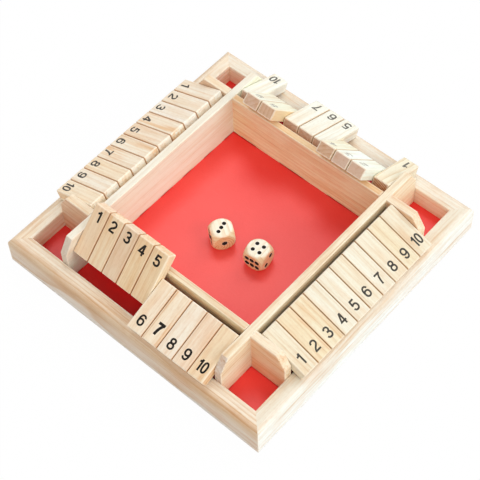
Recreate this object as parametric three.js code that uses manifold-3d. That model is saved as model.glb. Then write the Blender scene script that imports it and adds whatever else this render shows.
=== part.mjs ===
// A four-sided shut the box game in pine: a low square frame with a red floor, a dice tray
// fenced off in the middle, and on each side ten numbered tiles that flip about a wooden rod.
// Millimetres, +Z up. The origin is the middle of the underside. The front is the -Y side.
import * as THREE from 'three';
import { mergeVertices } from 'three/addons/utils/BufferGeometryUtils.js';
import Module from 'manifold-3d';

const wasm = await Module();
wasm.setup();

// ---------- Driving sizes ----------

// Outer frame: four rails, mitred at the corners
const frameSide = 225;
const railThickness = 12.4;
const railHeight = 24.8;
const railOuterRadius = 5;       // the generous round along the outer top edge
const railEdgeRadius = 1;        // the softened inner top edge and the feet
const mitreGap = 0.15;           // what each rail gives way at a mitre

// Floor: a base panel let in flush with the rails' feet, and its red lining
const basePanelThickness = 7;
const liningThickness = 1.7;
const panelClearance = 0.3;      // round the panel and the lining, and between the two

// Walls of the dice tray: two long ones run from rail to rail, two short ones fit between them
const sideStripWidth = 28.7;     // left and right strips: rail's inner face to a long wall
const endStripWidth = 29.6;      // front and back strips: rail's inner face to a short wall
const longWallThickness = 5.7;
const shortWallThickness = 5.1;
const wallHeight = 37.3;
const wallEdgeRadius = 0.7;
const seatGap = 0.3;             // between a wall and what it stands on or butts against

// Shaped ends of the long walls and of the cheek plates, which carry the rods
const endSlopeWidth = 7.2;       // from where the top edge turns down to the end
const endSlopeHeight = 11.6;     // how far the slope falls before the end turns upright
const cheekThickness = 6.3;

// Rods
const rodRailDistance = 16.3;    // rod's axis in from the rail's inner face
const rodDepth = 7.25;           // rod's axis below the walls' top edge
const rodRadius = 2.5;
const rodSocketDepth = 3.4;      // blind hole in the wall or cheek at each end
const rodEndClearance = 0.3;     // rod end to the bottom of its socket
const rodSocketClearance = 0.2;  // rod to socket, on the radius

// Tiles
const tilesPerSide = 10;
const tileGap = 0.32;            // between neighbours in a row
const tileThickness = 9;
const tileBoreClearance = 0.3;   // rod to tile, on the radius
const tileTipInset = 5;          // frame's outer face to where a lying tile meets the rail
const tailSwingShare = 0.875;    // how far the plain end swings, of the way to the nearest wall
const tileEdgeRadius = 1;        // round across the grain, at both ends
const tileSideBevel = 0.8;       // eased long edges
const restGap = 0.3;             // tile to the rail or wall that it rests against

// Dice
const dieSide = 16;
const dieFlatRadius = 6.9;       // the round flat left on each face by the rounding ball
const spotRadius = 1.4;
const singleSpotRadius = 1.9;    // the lone spot of a one is drilled larger
const spotDepth = 0.8;
const dieRestGap = 0.2;

// How finely the rounds are drawn, as counts
const arcSteps = 2;
const railArcSteps = 6;
const rodSides = 12;
const ballSegments = 32;
const ballRings = 20;
const spotSides = 10;

const cutOverrun = 1;            // how far a cutter starts outside what it cuts

// ---------- Sizes that follow ----------

// Heights over the table, and distances from the middle of the game
const frameHalf = frameSide / 2;
const railInner = frameHalf - railThickness;
const floorTop = basePanelThickness + panelClearance + liningThickness;
const wallFoot = floorTop + seatGap;
const wallTop = wallFoot + wallHeight;
const longWallOuter = railInner - sideStripWidth;
const shortWallOuter = railInner - endStripWidth;
const trayHalfWidth = longWallOuter - longWallThickness;
const trayHalfDepth = shortWallOuter - shortWallThickness;
const rowHalf = trayHalfWidth;   // a row of tiles is as long as the tray is wide
const wallEndReach = railInner - seatGap;
const shoulderReach = wallEndReach - endSlopeWidth;
const slopeFoot = wallTop - endSlopeHeight;
const rodReach = railInner - rodRailDistance;
const rodHeight = wallTop - rodDepth;

// A tile's length on both sides of its rod. The middle of the round along its numbered end's
// lower edge is where the tile meets the rail, and its plain end must swing past the wall.
const halfBody = tileThickness / 2 - tileEdgeRadius;
const tipAcross = frameHalf - tileTipInset - rodReach;
const tipFall = rodHeight - railHeight - restGap - tileEdgeRadius;
const tipSwing = Math.hypot(tipAcross, tipFall);
const tileTip = tileEdgeRadius + Math.sqrt(tipSwing ** 2 - halfBody ** 2);
const wallDistance = rodReach - Math.max(longWallOuter, shortWallOuter);
const tailSwing = tailSwingShare * wallDistance - tileEdgeRadius;
const tileTail = tileEdgeRadius + Math.sqrt(tailSwing ** 2 - halfBody ** 2);

// Both rests of a tile follow from what it leans on. Lying out, it slopes down to the rail.
const lyingAngle = Math.asin(tipFall / tipSwing) - Math.asin(halfBody / tipSwing);

// Flipped in, its face leans on the rounded top edge of the wall behind it.
function leaningAngle(wallOuter) {
  const across = rodReach - wallOuter + wallEdgeRadius;
  const rise = wallTop - wallEdgeRadius - rodHeight;
  const standOff = tileThickness / 2 + restGap + wallEdgeRadius;
  return Math.atan2(rise, across) + Math.asin(standOff / Math.hypot(across, rise));
}

// ---------- Materials, one object for each piece ----------

const finishes = {
  pine: { color: 0xf0d3a8, roughness: 0.55, metalness: 0 },
  palePine: { color: 0xf6e2c2, roughness: 0.55, metalness: 0 },
  birchDowel: { color: 0xe3c59a, roughness: 0.6, metalness: 0 },
  redLining: { color: 0xe23a33, roughness: 0.85, metalness: 0 },
  panelBoard: { color: 0xc9a87c, roughness: 0.8, metalness: 0 },
  dieWood: { color: 0xf3dfb8, roughness: 0.45, metalness: 0 },
};

function piece(name, geometry, finish) {
  const mesh = new THREE.Mesh(geometry, new THREE.MeshStandardMaterial(finishes[finish]));
  mesh.name = name;
  return mesh;
}

// ---------- Helpers for shapes and solids ----------

// A closed outline through corners [x, y, radius]; a radius of 0 leaves the corner sharp.
function roundedOutline(corners, steps, target = new THREE.Shape()) {
  const points = [];
  corners.forEach(([x, y, radius], i) => {
    const corner = new THREE.Vector2(x, y);
    if (radius === 0) {
      points.push(corner);
      return;
    }
    const [beforeX, beforeY] = corners[(i + corners.length - 1) % corners.length];
    const [afterX, afterY] = corners[(i + 1) % corners.length];
    const back = new THREE.Vector2(beforeX, beforeY).sub(corner).normalize();
    const on = new THREE.Vector2(afterX, afterY).sub(corner).normalize();
    const halfTurn = Math.acos(back.dot(on)) / 2;
    const centre = back.clone().add(on).normalize().multiplyScalar(radius / Math.sin(halfTurn));
    centre.add(corner);
    const start = back.clone().multiplyScalar(radius / Math.tan(halfTurn)).add(corner).sub(centre);
    const end = on.clone().multiplyScalar(radius / Math.tan(halfTurn)).add(corner).sub(centre);
    let sweep = end.angle() - start.angle();
    if (sweep > Math.PI) sweep -= 2 * Math.PI;
    if (sweep < -Math.PI) sweep += 2 * Math.PI;
    for (let step = 0; step <= steps; step += 1) {
      points.push(start.clone().rotateAround(new THREE.Vector2(), (sweep * step) / steps).add(centre));
    }
  });
  return target.setFromPoints(points);
}

// An outline drawn outwards (x) and upwards (y), given a thickness along the side it stands on.
// Its middle is at x = 0 there, and its outward direction is -Y, as on the front side.
function standing(shape, thickness, bevel = 0) {
  const geometry = new THREE.ExtrudeGeometry(shape, {
    depth: thickness - 2 * bevel,
    steps: 1,
    bevelEnabled: bevel > 0,
    bevelThickness: bevel,
    bevelSize: bevel,
    bevelOffset: -bevel,
    bevelSegments: 1,
  });
  geometry.translate(0, 0, bevel - thickness / 2);
  const outward = new THREE.Vector3(0, -1, 0);
  const upward = new THREE.Vector3(0, 0, 1);
  const along = new THREE.Vector3(-1, 0, 0);
  return geometry.applyMatrix4(new THREE.Matrix4().makeBasis(outward, upward, along));
}

function toSolid(geometry) {
  const bare = geometry.clone();
  bare.deleteAttribute('normal');
  bare.deleteAttribute('uv');
  const merged = mergeVertices(bare);
  return new wasm.Manifold(new wasm.Mesh({
    numProp: 3,
    vertProperties: new Float32Array(merged.attributes.position.array),
    triVerts: new Uint32Array(merged.index.array),
  }));
}

function toGeometry(solid) {
  const mesh = solid.getMesh();
  const geometry = new THREE.BufferGeometry();
  geometry.setAttribute('position', new THREE.BufferAttribute(mesh.vertProperties, 3));
  geometry.setIndex(new THREE.BufferAttribute(mesh.triVerts, 1));
  geometry.computeVertexNormals();
  return geometry;
}

function subtractAll(geometry, cutters) {
  return toGeometry(cutters.reduce((solid, cutter) => solid.subtract(toSolid(cutter)), toSolid(geometry)));
}

// A round bar or cutter along X, from one end to the other
function barAlongX(radius, fromX, toX, sides) {
  const bar = new THREE.CylinderGeometry(radius, radius, toX - fromX, sides);
  bar.rotateZ(Math.PI / 2);
  return bar.translate((fromX + toX) / 2, 0, 0);
}

const game = new THREE.Group();

// The four sides, each turned from the front one, so that its outward direction is -Y and
// its player reads the tiles from -X to +X
const sideNames = ['front', 'right', 'back', 'left'];
const sides = Object.fromEntries(sideNames.map((name, quarter) => {
  const side = new THREE.Group();
  side.rotation.z = (quarter * Math.PI) / 2;
  game.add(side);
  return [name, side];
}));

// ---------- Floor ----------

const panelSide = 2 * (railInner - panelClearance);

const panelBox = (thickness) => new THREE.BoxGeometry(panelSide, panelSide, thickness);

const basePanel = piece('base_panel', panelBox(basePanelThickness), 'panelBoard');
basePanel.position.z = basePanelThickness / 2;
game.add(basePanel);

const lining = piece('red_lining', panelBox(liningThickness), 'redLining');
lining.position.z = floorTop - liningThickness / 2;
game.add(lining);

// ---------- Outer frame ----------

// One rail: its section is drawn outwards and upwards, and each end is drawn back to the
// mitre plane by as much as a point lies in from the outer face.
function railGeometry() {
  const section = roundedOutline([
    [railInner, 0, 0],
    [frameHalf, 0, railEdgeRadius],
    [frameHalf, railHeight, railOuterRadius],
    [railInner, railHeight, railEdgeRadius],
  ], railArcSteps);
  const geometry = standing(section, 2 * frameHalf);
  const { position } = geometry.attributes;
  for (let i = 0; i < position.count; i += 1) {
    const end = Math.sign(position.getX(i));
    position.setX(i, end * (Math.abs(position.getY(i)) - mitreGap));
  }
  geometry.computeVertexNormals();
  return geometry;
}

sideNames.forEach((name) => sides[name].add(piece(`rail_${name}`, railGeometry(), 'pine')));

// ---------- Walls and cheek plates ----------

// A rod's blind socket, cut from the tray's side of a plate's face
const socketCutter = (faceX, awaySign) => barAlongX(
  rodRadius + rodSocketClearance,
  faceX + Math.min(-awaySign * cutOverrun, awaySign * rodSocketDepth),
  faceX + Math.max(-awaySign * cutOverrun, awaySign * rodSocketDepth),
  rodSides,
);

// Long walls: the shaped outline from the back rail to the front rail
const longWallOutline = () => roundedOutline([
  [-wallEndReach, wallFoot, 0],
  [wallEndReach, wallFoot, 0],
  [wallEndReach, slopeFoot, wallEdgeRadius],
  [shoulderReach, wallTop, wallEdgeRadius],
  [-shoulderReach, wallTop, wallEdgeRadius],
  [-wallEndReach, slopeFoot, wallEdgeRadius],
], arcSteps);

[['long_wall_left', -1], ['long_wall_right', 1]].forEach(([name, awaySign]) => {
  const blank = standing(longWallOutline(), longWallThickness, wallEdgeRadius);
  const sockets = [-1, 1].map((end) => socketCutter(-awaySign * (longWallThickness / 2), awaySign)
    .translate(0, end * rodReach, rodHeight));
  const wall = piece(name, subtractAll(blank, sockets), 'palePine');
  wall.position.x = awaySign * (trayHalfWidth + longWallThickness / 2);
  game.add(wall);
});

// Short walls: a plain board with both top edges softened, between the long walls
const shortWallLength = 2 * (trayHalfWidth - seatGap);
const shortWallSection = () => roundedOutline([
  [trayHalfDepth, wallFoot, 0],
  [shortWallOuter, wallFoot, 0],
  [shortWallOuter, wallTop, wallEdgeRadius],
  [trayHalfDepth, wallTop, wallEdgeRadius],
], arcSteps);

['front', 'back'].forEach((name) => {
  sides[name].add(piece(`short_wall_${name}`, standing(shortWallSection(), shortWallLength), 'palePine'));
});

// Cheek plates: half of the long wall's outline, butted against its outer face
const cheekOutline = () => roundedOutline([
  [longWallOuter + seatGap, wallFoot, 0],
  [wallEndReach, wallFoot, 0],
  [wallEndReach, slopeFoot, wallEdgeRadius],
  [shoulderReach, wallTop, wallEdgeRadius],
  [longWallOuter + seatGap, wallTop, 0],
], arcSteps);

['right', 'left'].forEach((name) => {
  [['first', -1], ['last', 1]].forEach(([end, awaySign]) => {
    const blank = standing(cheekOutline(), cheekThickness, wallEdgeRadius);
    const socket = socketCutter(-awaySign * (cheekThickness / 2), awaySign)
      .translate(0, -rodReach, rodHeight);
    const cheek = piece(`cheek_${name}_${end}`, subtractAll(blank, [socket]), 'palePine');
    cheek.position.x = awaySign * (rowHalf + cheekThickness / 2);
    sides[name].add(cheek);
  });
});

// ---------- Rods ----------

const rodHalfLength = rowHalf + rodSocketDepth - rodEndClearance;

sideNames.forEach((name) => {
  const bar = barAlongX(rodRadius, -rodHalfLength, rodHalfLength, rodSides);
  const rod = piece(`rod_${name}`, bar, 'birchDowel');
  rod.position.set(0, -rodReach, rodHeight);
  sides[name].add(rod);
});

// ---------- Tiles ----------

const tileWidth = (2 * rowHalf - (tilesPerSide + 1) * tileGap) / tilesPerSide;
const tilePitch = tileWidth + tileGap;

// Drawn with the rod's axis at the origin and the numbered end outwards
function tileGeometry() {
  const outline = roundedOutline([
    [-tileTail, -tileThickness / 2, tileEdgeRadius],
    [tileTip, -tileThickness / 2, tileEdgeRadius],
    [tileTip, tileThickness / 2, tileEdgeRadius],
    [-tileTail, tileThickness / 2, tileEdgeRadius],
  ], arcSteps);
  const boreRadius = rodRadius + tileBoreClearance;
  const bore = Array.from({ length: rodSides }, (_, i) => new THREE.Vector2(boreRadius, 0)
    .rotateAround(new THREE.Vector2(), -(2 * Math.PI * i) / rodSides));
  outline.holes.push(new THREE.Path(bore));
  return standing(outline, tileWidth, tileSideBevel);
}

// One letter a tile, in number order: s for shut, that is flipped in over the wall, o for open
const rowStates = {
  front: 'sssssooooo',
  right: 'oooooooooo',
  back: 'osssooosso',
  left: 'oooooooooo',
};

sideNames.forEach((name) => {
  const wallOuter = name === 'front' || name === 'back' ? shortWallOuter : longWallOuter;
  for (let number = 1; number <= tilesPerSide; number += 1) {
    const tile = piece(`tile_${name}_${number}`, tileGeometry(), number % 2 ? 'pine' : 'palePine');
    tile.position.set((number - (tilesPerSide + 1) / 2) * tilePitch, -rodReach, rodHeight);
    const shut = rowStates[name][number - 1] === 's';
    tile.rotation.x = shut ? leaningAngle(wallOuter) - Math.PI : lyingAngle;
    sides[name].add(tile);
  }
});

// ---------- Dice ----------

// Spot layouts, as shares of the die's side from the middle of a face
const nearShare = 0.168;
const farShare = 0.25;
const diagonalShares = [[-nearShare, -nearShare], [nearShare, nearShare]];
const cornerShares = [...diagonalShares, [-nearShare, nearShare], [nearShare, -nearShare]];
const spotShares = {
  1: [[0, 0]],
  2: diagonalShares,
  3: [[0, 0], ...diagonalShares],
  4: cornerShares,
  5: [[0, 0], ...cornerShares],
  6: [-farShare, 0, farShare].flatMap((across) => [[across, -nearShare], [across, nearShare]]),
};

// Each face has its outward direction and its rightward one as its reader sees it.
const dieFaces = {
  top: [new THREE.Vector3(0, 0, 1), new THREE.Vector3(1, 0, 0)],
  bottom: [new THREE.Vector3(0, 0, -1), new THREE.Vector3(1, 0, 0)],
  front: [new THREE.Vector3(0, -1, 0), new THREE.Vector3(1, 0, 0)],
  back: [new THREE.Vector3(0, 1, 0), new THREE.Vector3(-1, 0, 0)],
  right: [new THREE.Vector3(1, 0, 0), new THREE.Vector3(0, 1, 0)],
  left: [new THREE.Vector3(-1, 0, 0), new THREE.Vector3(0, -1, 0)],
};

function dieGeometry(values) {
  const cube = toSolid(new THREE.BoxGeometry(dieSide, dieSide, dieSide));
  const ballRadius = Math.hypot(dieSide / 2, dieFlatRadius);
  let die = cube.intersect(toSolid(new THREE.SphereGeometry(ballRadius, ballSegments, ballRings)));
  Object.entries(dieFaces).forEach(([side, [outward, rightward]]) => {
    const upward = outward.clone().cross(rightward);
    const layout = spotShares[values[side]];
    const radius = layout.length > 1 ? spotRadius : singleSpotRadius;
    layout.forEach(([acrossShare, upShare]) => {
      const spot = new THREE.CylinderGeometry(radius, radius, spotDepth + cutOverrun, spotSides);
      spot.translate(0, (cutOverrun - spotDepth) / 2, 0);
      spot.applyMatrix4(new THREE.Matrix4().makeBasis(upward, outward, rightward));
      const place = outward.clone().multiplyScalar(dieSide / 2)
        .addScaledVector(rightward, acrossShare * dieSide)
        .addScaledVector(upward, upShare * dieSide);
      spot.translate(place.x, place.y, place.z);
      die = die.subtract(toSolid(spot));
    });
  });
  return toGeometry(die);
}

// Where each die has come to lie: how many spots each face has, where it is as shares of the
// tray's half width and half depth, and its turn in degrees. Opposite faces add up to seven.
[
  {
    name: 'die_1',
    values: { top: 3, bottom: 4, front: 1, back: 6, right: 2, left: 5 },
    placeShares: [-0.126, -0.17],
    turn: 56.8,
  },
  {
    name: 'die_2',
    values: { top: 4, bottom: 3, front: 6, back: 1, right: 2, left: 5 },
    placeShares: [0.333, -0.115],
    turn: 6.3,
  },
].forEach(({ name, values, placeShares: [acrossShare, deepShare], turn }) => {
  const die = piece(name, dieGeometry(values), 'dieWood');
  die.position.x = acrossShare * trayHalfWidth;
  die.position.y = deepShare * trayHalfDepth;
  die.position.z = floorTop + dieRestGap + dieSide / 2;
  die.rotation.z = THREE.MathUtils.degToRad(turn);
  game.add(die);
});

const degrees = (angle) => THREE.MathUtils.radToDeg(angle).toFixed(2);
console.log(`tiles ${(tileTip + tileTail).toFixed(2)} long, ${tileTip.toFixed(2)} of it past the rod,`,
  `and ${tileWidth.toFixed(2)} wide`);
console.log(`rods ${rodReach.toFixed(2)} from the middle and ${rodHeight.toFixed(2)} over the table`);
console.log(`lying ${degrees(lyingAngle)} degrees below level, and leaning above it`,
  `${degrees(leaningAngle(shortWallOuter))} (front, back) or ${degrees(leaningAngle(longWallOuter))} (sides)`);

export default game;
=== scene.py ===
# %% [markdown]
# # A four-sided shut the box game
#
# Four players sit round one low pine frame. Each has ten numbered tiles on a hidden rod, and
# flips them in over the wall of the dice tray as the dice allow. This lesson takes the packed
# CAD model, which already has every size, hinge and rest, and gives each piece the finish and
# the small rounds of the real one. Everything is in metres, +Z up, with the game's middle at
# the origin and the front player at -Y.

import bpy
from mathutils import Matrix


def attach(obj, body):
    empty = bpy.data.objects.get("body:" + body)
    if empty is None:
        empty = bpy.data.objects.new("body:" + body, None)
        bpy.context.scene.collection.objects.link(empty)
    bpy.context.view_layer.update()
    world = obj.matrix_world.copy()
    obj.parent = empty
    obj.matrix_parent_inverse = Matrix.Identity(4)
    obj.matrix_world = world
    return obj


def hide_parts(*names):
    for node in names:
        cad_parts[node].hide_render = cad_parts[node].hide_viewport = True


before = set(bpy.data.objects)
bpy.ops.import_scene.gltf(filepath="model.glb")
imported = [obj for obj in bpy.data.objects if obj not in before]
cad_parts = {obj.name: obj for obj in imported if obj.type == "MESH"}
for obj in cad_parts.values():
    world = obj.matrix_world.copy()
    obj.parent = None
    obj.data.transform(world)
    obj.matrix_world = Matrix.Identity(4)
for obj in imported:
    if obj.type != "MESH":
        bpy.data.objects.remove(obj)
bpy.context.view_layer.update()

# %% [markdown]
# ## Sizes
#
# The looks have to sit exactly on the CAD pieces, so the sizes are the same named ones. They
# could be measured off the loaded meshes, but written out they read like the maker's own list.

# %% Sizes of the frame, walls and tiles
import math
from functools import partialmethod

import bmesh
import bpy
import numpy as np
from mathutils import Matrix, Vector, geometry

MM = 0.001
HAIR = 0.02 * MM                 # what two glued or printed faces keep between them

FRAME_HALF = 112.5 * MM
RAIL_THICKNESS = 12.4 * MM
RAIL_HEIGHT = 24.8 * MM
RAIL_ROUND = 5 * MM
RAIL_INNER = FRAME_HALF - RAIL_THICKNESS

FLOOR_TOP = 9 * MM
LINING_THICKNESS = 1.7 * MM

LONG_WALL_OUTER = RAIL_INNER - 28.7 * MM
SHORT_WALL_OUTER = RAIL_INNER - 29.6 * MM
LONG_WALL_THICKNESS = 5.7 * MM
SHORT_WALL_THICKNESS = 5.1 * MM
WALL_TOP = 46.6 * MM
WALL_EDGE = 0.7 * MM
TRAY_HALF_WIDTH = LONG_WALL_OUTER - LONG_WALL_THICKNESS
TRAY_HALF_DEPTH = SHORT_WALL_OUTER - SHORT_WALL_THICKNESS
END_SLOPE_WIDTH = 7.2 * MM
END_SLOPE_HEIGHT = 11.6 * MM
CHEEK_THICKNESS = 6.3 * MM

ROD_REACH = RAIL_INNER - 16.3 * MM
ROD_HEIGHT = WALL_TOP - 7.25 * MM
ROD_RADIUS = 2.5 * MM
ROD_IN_WALL = 3.1 * MM           # how far a rod reaches into its blind holes

TILES = 10
TILE_GAP = 0.32 * MM
TILE_THICKNESS = 9 * MM
TILE_EDGE = 1 * MM
TILE_RIM = 0.8 * MM
BORE_CLEARANCE = 0.3 * MM
TAIL_SHARE = 0.875               # of the room between the rod and the side walls
TILE_WIDTH = (2 * TRAY_HALF_WIDTH - (TILES + 1) * TILE_GAP) / TILES
REST_GAP = 0.3 * MM

DIE_SIDE = 16 * MM
print(f"tray {2e3 * TRAY_HALF_WIDTH:.1f} by {2e3 * TRAY_HALF_DEPTH:.1f} mm")
print(f"tile {1e3 * TILE_WIDTH:.2f} mm wide")

# %% [markdown]
# A tile lies with its numbered end on the outer rail, or leans in on the rounded edge of the
# wall behind it. Both angles are computed, as in the CAD, from the place of the rod and from
# what the tile touches.

# %% Lengths and rests of a tile
half_body = TILE_THICKNESS / 2 - TILE_EDGE
tip_fall = ROD_HEIGHT - RAIL_HEIGHT - REST_GAP - TILE_EDGE
tip_swing = math.hypot(FRAME_HALF - RAIL_ROUND - ROD_REACH, tip_fall)
TILE_TIP = TILE_EDGE + math.sqrt(tip_swing**2 - half_body**2)
tail_swing = TAIL_SHARE * (ROD_REACH - LONG_WALL_OUTER) - TILE_EDGE
TILE_TAIL = TILE_EDGE + math.sqrt(tail_swing**2 - half_body**2)
LYING = math.asin(tip_fall / tip_swing) - math.asin(half_body / tip_swing)


def leaning(wall_outer):
    """How far above level a tile stands when its face rests on the wall's rounded edge."""
    across = ROD_REACH - wall_outer + WALL_EDGE
    rise = WALL_TOP - WALL_EDGE - ROD_HEIGHT
    stand_off = TILE_THICKNESS / 2 + REST_GAP + WALL_EDGE
    return math.atan2(rise, across) + math.asin(stand_off / math.hypot(across, rise))


lean = math.degrees(leaning(SHORT_WALL_OUTER))
print(f"lying {math.degrees(LYING):.2f}, leaning {lean:.2f} degrees")

# %% [markdown]
# ## Camera
#
# The photograph looks down on one corner from fairly far off, so its lines hardly converge: a
# long lens does the same. The turns and the distance were fitted to the straight edges of the
# frame and the walls. The camera starts looking straight down: it is rolled, tilted and swung.

# %% Make the camera
AZIMUTH = math.radians(43.628)
ELEVATION = math.radians(55.774)
ROLL = math.radians(-2.700)
DISTANCE = 969.2 * MM
TARGET = Vector((-3.544 * MM, 1.725 * MM, 0))
FOCAL_PIXELS, PHOTO_PIXELS = 1396.1, 480

scene = bpy.context.scene


def linked(name, data, matrix):
    """A new object in the scene."""
    thing = bpy.data.objects.new(name, data)
    thing.matrix_world = matrix
    scene.collection.objects.link(thing)
    return thing


lens = bpy.data.cameras.new("photo_lens")
lens.sensor_width = 36
lens.lens = FOCAL_PIXELS / PHOTO_PIXELS * lens.sensor_width
lens.clip_start, lens.clip_end = 0.05, 20
tilt = Matrix.Rotation(math.pi / 2 - ELEVATION, 4, "X")
turn = Matrix.Rotation(AZIMUTH, 4, "Z") @ tilt @ Matrix.Rotation(ROLL, 4, "Z")
stand = Matrix.Translation(TARGET) @ turn @ Matrix.Translation((0, 0, DISTANCE))
scene.camera = linked("photo_camera", lens, stand)
scene.view_settings.view_transform = "Standard"
print(f"lens {lens.lens:.1f} mm, {DISTANCE:.3f} m from the game")

# %% [markdown]
# ## Writing a finish as sums
#
# A finish is a graph of shader nodes. Wired by hand, its idea is lost in dozens of lines, so a
# small class wraps a node's output and lets Python's own signs add Math nodes. All other nodes
# come from one method, which takes the type, the settings and the sockets.

# %% A node's output with arithmetic
class Value:
    """One output of a node. Sums, products and powers of it add Math nodes."""

    def __init__(self, finish, socket):
        self.finish, self.socket = finish, socket

    def math(self, operation, other=0.0):
        return self.finish.add("Math", {"operation": operation}, {0: self, 1: other})

    __add__ = __radd__ = partialmethod(math, "ADD")
    __sub__ = partialmethod(math, "SUBTRACT")
    __mul__ = __rmul__ = partialmethod(math, "MULTIPLY")
    __truediv__ = partialmethod(math, "DIVIDE")
    __pow__ = partialmethod(math, "POWER")
    __abs__ = partialmethod(math, "ABSOLUTE")
    fraction = partialmethod(math, "FRACT")
    least = partialmethod(math, "MINIMUM")
    most = partialmethod(math, "MAXIMUM")

    def __rsub__(self, other):
        return self.finish.add("Math", {"operation": "SUBTRACT"}, {0: other, 1: self})

    def step(self, low, high):
        """0 below low, 1 above high, and smooth in between."""
        smooth = {"interpolation_type": "SMOOTHSTEP"}
        return self.finish.add("MapRange", smooth, {0: self, 1: low, 2: high})


# %% A finish under construction
class Finish:
    """A material, or the world, whose nodes all come from add()."""

    def __init__(self, name, kind="materials"):
        self.owner = getattr(bpy.data, kind).new(name)
        self.owner.use_nodes = True
        self.tree = self.owner.node_tree
        self.tree.nodes.clear()

    def add(self, kind, settings=(), sockets=(), output=0):
        node = self.tree.nodes.new("ShaderNode" + kind)
        for name, value in dict(settings).items():
            setattr(node, name, value)
        for key, value in dict(sockets).items():
            if isinstance(value, Value):
                self.tree.links.new(value.socket, node.inputs[key])
            else:
                node.inputs[key].default_value = value
        return Value(self, node.outputs[output]) if len(node.outputs) else None

    def mark(self, name, output="Vector"):
        """What a mesh carries under this name, point by point."""
        return self.add("Attribute", {"attribute_name": name}, output=output)

    def vector(self, operation, first, second, third=(0, 0, 0)):
        return self.add("VectorMath", {"operation": operation}, {0: first, 1: second, 2: third})

    def parts(self, vector):
        return [self.add("SeparateXYZ", {}, {0: vector}, output=axis) for axis in "XYZ"]

    def noise(self, place, stretch, detail=2.0, roughness=0.5, output="Fac"):
        """Cloudy noise whose lumps are 1/stretch metres long each way."""
        sockets = {"Vector": self.vector("MULTIPLY", place, stretch), "Scale": 1.0}
        sockets.update({"Detail": detail, "Roughness": roughness})
        return self.add("TexNoise", {}, sockets, output)

    def stain(self, color, mask, by):
        """color multiplied by another colour where mask is 1."""
        settings = {"data_type": "RGBA", "blend_type": "MULTIPLY"}
        return self.add("Mix", settings, {0: mask, 6: color, 7: by}, output=2)

    def cover(self, color, mask, other):
        """other colour laid over color where mask is 1."""
        return self.add("Mix", {"data_type": "RGBA"}, {0: mask, 6: color, 7: other}, output=2)

    def bump(self, height, distance, strength):
        return self.add("Bump", {}, {"Height": height, "Distance": distance, "Strength": strength})

    def surface(self, **sockets):
        named = {key.replace("_", " "): value for key, value in sockets.items()}
        self.add("OutputMaterial", {}, {"Surface": self.add("BsdfPrincipled", {}, named)})
        return self.owner


print("shader helpers ready")

# %% [markdown]
# ## Pine
#
# Pine shows growth rings, which are bands on a long face and arcs on a sawn end, fine fibres
# along the grain, and a tone for each board. A photograph of wood could be wrapped round every
# piece, but then the ends would be wrong. Here the wood is a solid: rings are computed as the
# distance from a heart line outside the piece, so faces and ends agree by themselves.
#
# Each mesh carries marks for this: "place" is the point in the piece's own axes with X along
# the grain, "reach" is half the piece's size, "shift" says where in the tree it was sawn,
# "tone" is the colour of its board with painted light and shade on faces that the light finds
# or misses, its alpha marking sides where shade is painted in a gap, and "traits" says how far
# the surface turns to a sawn end, how strongly the rings show and how warm its streaks are.

# %% Colours that stain the pine
LATE_WOOD, STREAK, FIBRE = (0.82, 0.64, 0.46, 1), (0.94, 0.84, 0.72, 1), (0.92, 0.80, 0.66, 1)
BLUSH, PORE, LINE = (0.97, 0.86, 0.78, 1), (0.66, 0.50, 0.38, 1), (0.80, 0.62, 0.46, 1)
MOTTLE, RESIN, END_RING = (0.95, 0.90, 0.86, 1), (0.90, 0.64, 0.42, 1), (0.70, 0.50, 0.36, 1)
WORN_EDGE_HIGHLIGHT, GAP_SHADE, FIRST_TILE_SHADE = (0.96, 0.87, 0.72, 1), (0.70, 0.46, 0.28, 1), (0.94, 0.79, 0.77, 1)
SAWN_END, SHADED_END, DICE_END = (0.80, 0.72, 0.69, 1), (0.72, 0.56, 0.52, 1), (0.97, 0.90, 0.80, 1)


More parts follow.
